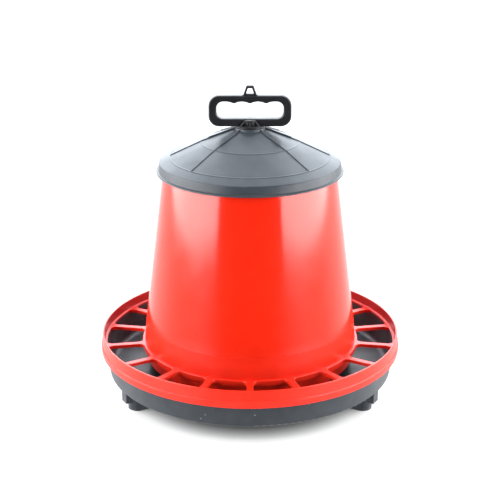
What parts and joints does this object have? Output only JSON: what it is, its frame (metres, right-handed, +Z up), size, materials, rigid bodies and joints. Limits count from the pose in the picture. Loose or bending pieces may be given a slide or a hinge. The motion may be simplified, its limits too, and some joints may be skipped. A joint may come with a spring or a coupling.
{
  "type": "hanging poultry hopper feeder",
  "caption": "Round hopper feeder for poultry: pan on feet, slotted feed-saver grid, tapered hopper, conical lid and a turning carrying handle with a hanging ear.",
  "frame": {"origin": "on the floor under the centre of the pan", "axes": "+Z up along the hopper's axis, front towards -Y, the handle runs along X"},
  "size_m": [0.4244, 0.4244, 0.4344],
  "materials": {
    "red_plastic": "satin",
    "grey_plastic": "satin",
    "lid_plastic": "satin",
    "black_plastic": "satin",
    "plated_steel": "satin"
  },
  "bodies": {
    "base": {"pan": "grey_plastic", "foot_front_left": "grey_plastic", "foot_front_right": "grey_plastic", "foot_rear": "grey_plastic", "knob_retainer": "grey_plastic", "retainer_screws": "plated_steel"},
    "hopper": {"hopper_shell": "red_plastic", "feed_grid": "red_plastic", "hopper_spider": "grey_plastic", "tie_rod": "plated_steel", "spider_nuts": "plated_steel", "spider_washers": "plated_steel", "rod_crosshead": "plated_steel", "crosshead_pin": "plated_steel"},
    "knob": {"level_knob": "black_plastic", "knob_nut": "plated_steel"},
    "lid": {"lid_shell": "lid_plastic", "neck_washer": "black_plastic"},
    "handle": {"carry_handle": "black_plastic", "handle_circlip": "plated_steel"}
  },
  "joints": [
    {"name": "hopper_level", "type": "slide", "parent": "base", "child": "hopper", "axis": [0, 0, 1], "range_m": [0, 0.008]},
    {"name": "knob_turn", "type": "hinge", "parent": "base", "child": "knob", "pos_m": [0, 0, 0.02], "axis": [0, 0, 1], "range_deg": [-360, 0]},
    {"name": "lid_lift", "type": "slide", "parent": "hopper", "child": "lid", "axis": [0, 0, 1], "range_m": [0, 0.12]},
    {"name": "handle_lock", "type": "hinge", "parent": "lid", "child": "handle", "pos_m": [0, 0, 0.38], "axis": [0, 0, 1], "range_deg": [0, 90]}
  ],
  "couplings": [
    {"joint": "knob_turn", "follows": "hopper_level", "rad_per_m": -785}
  ]
}
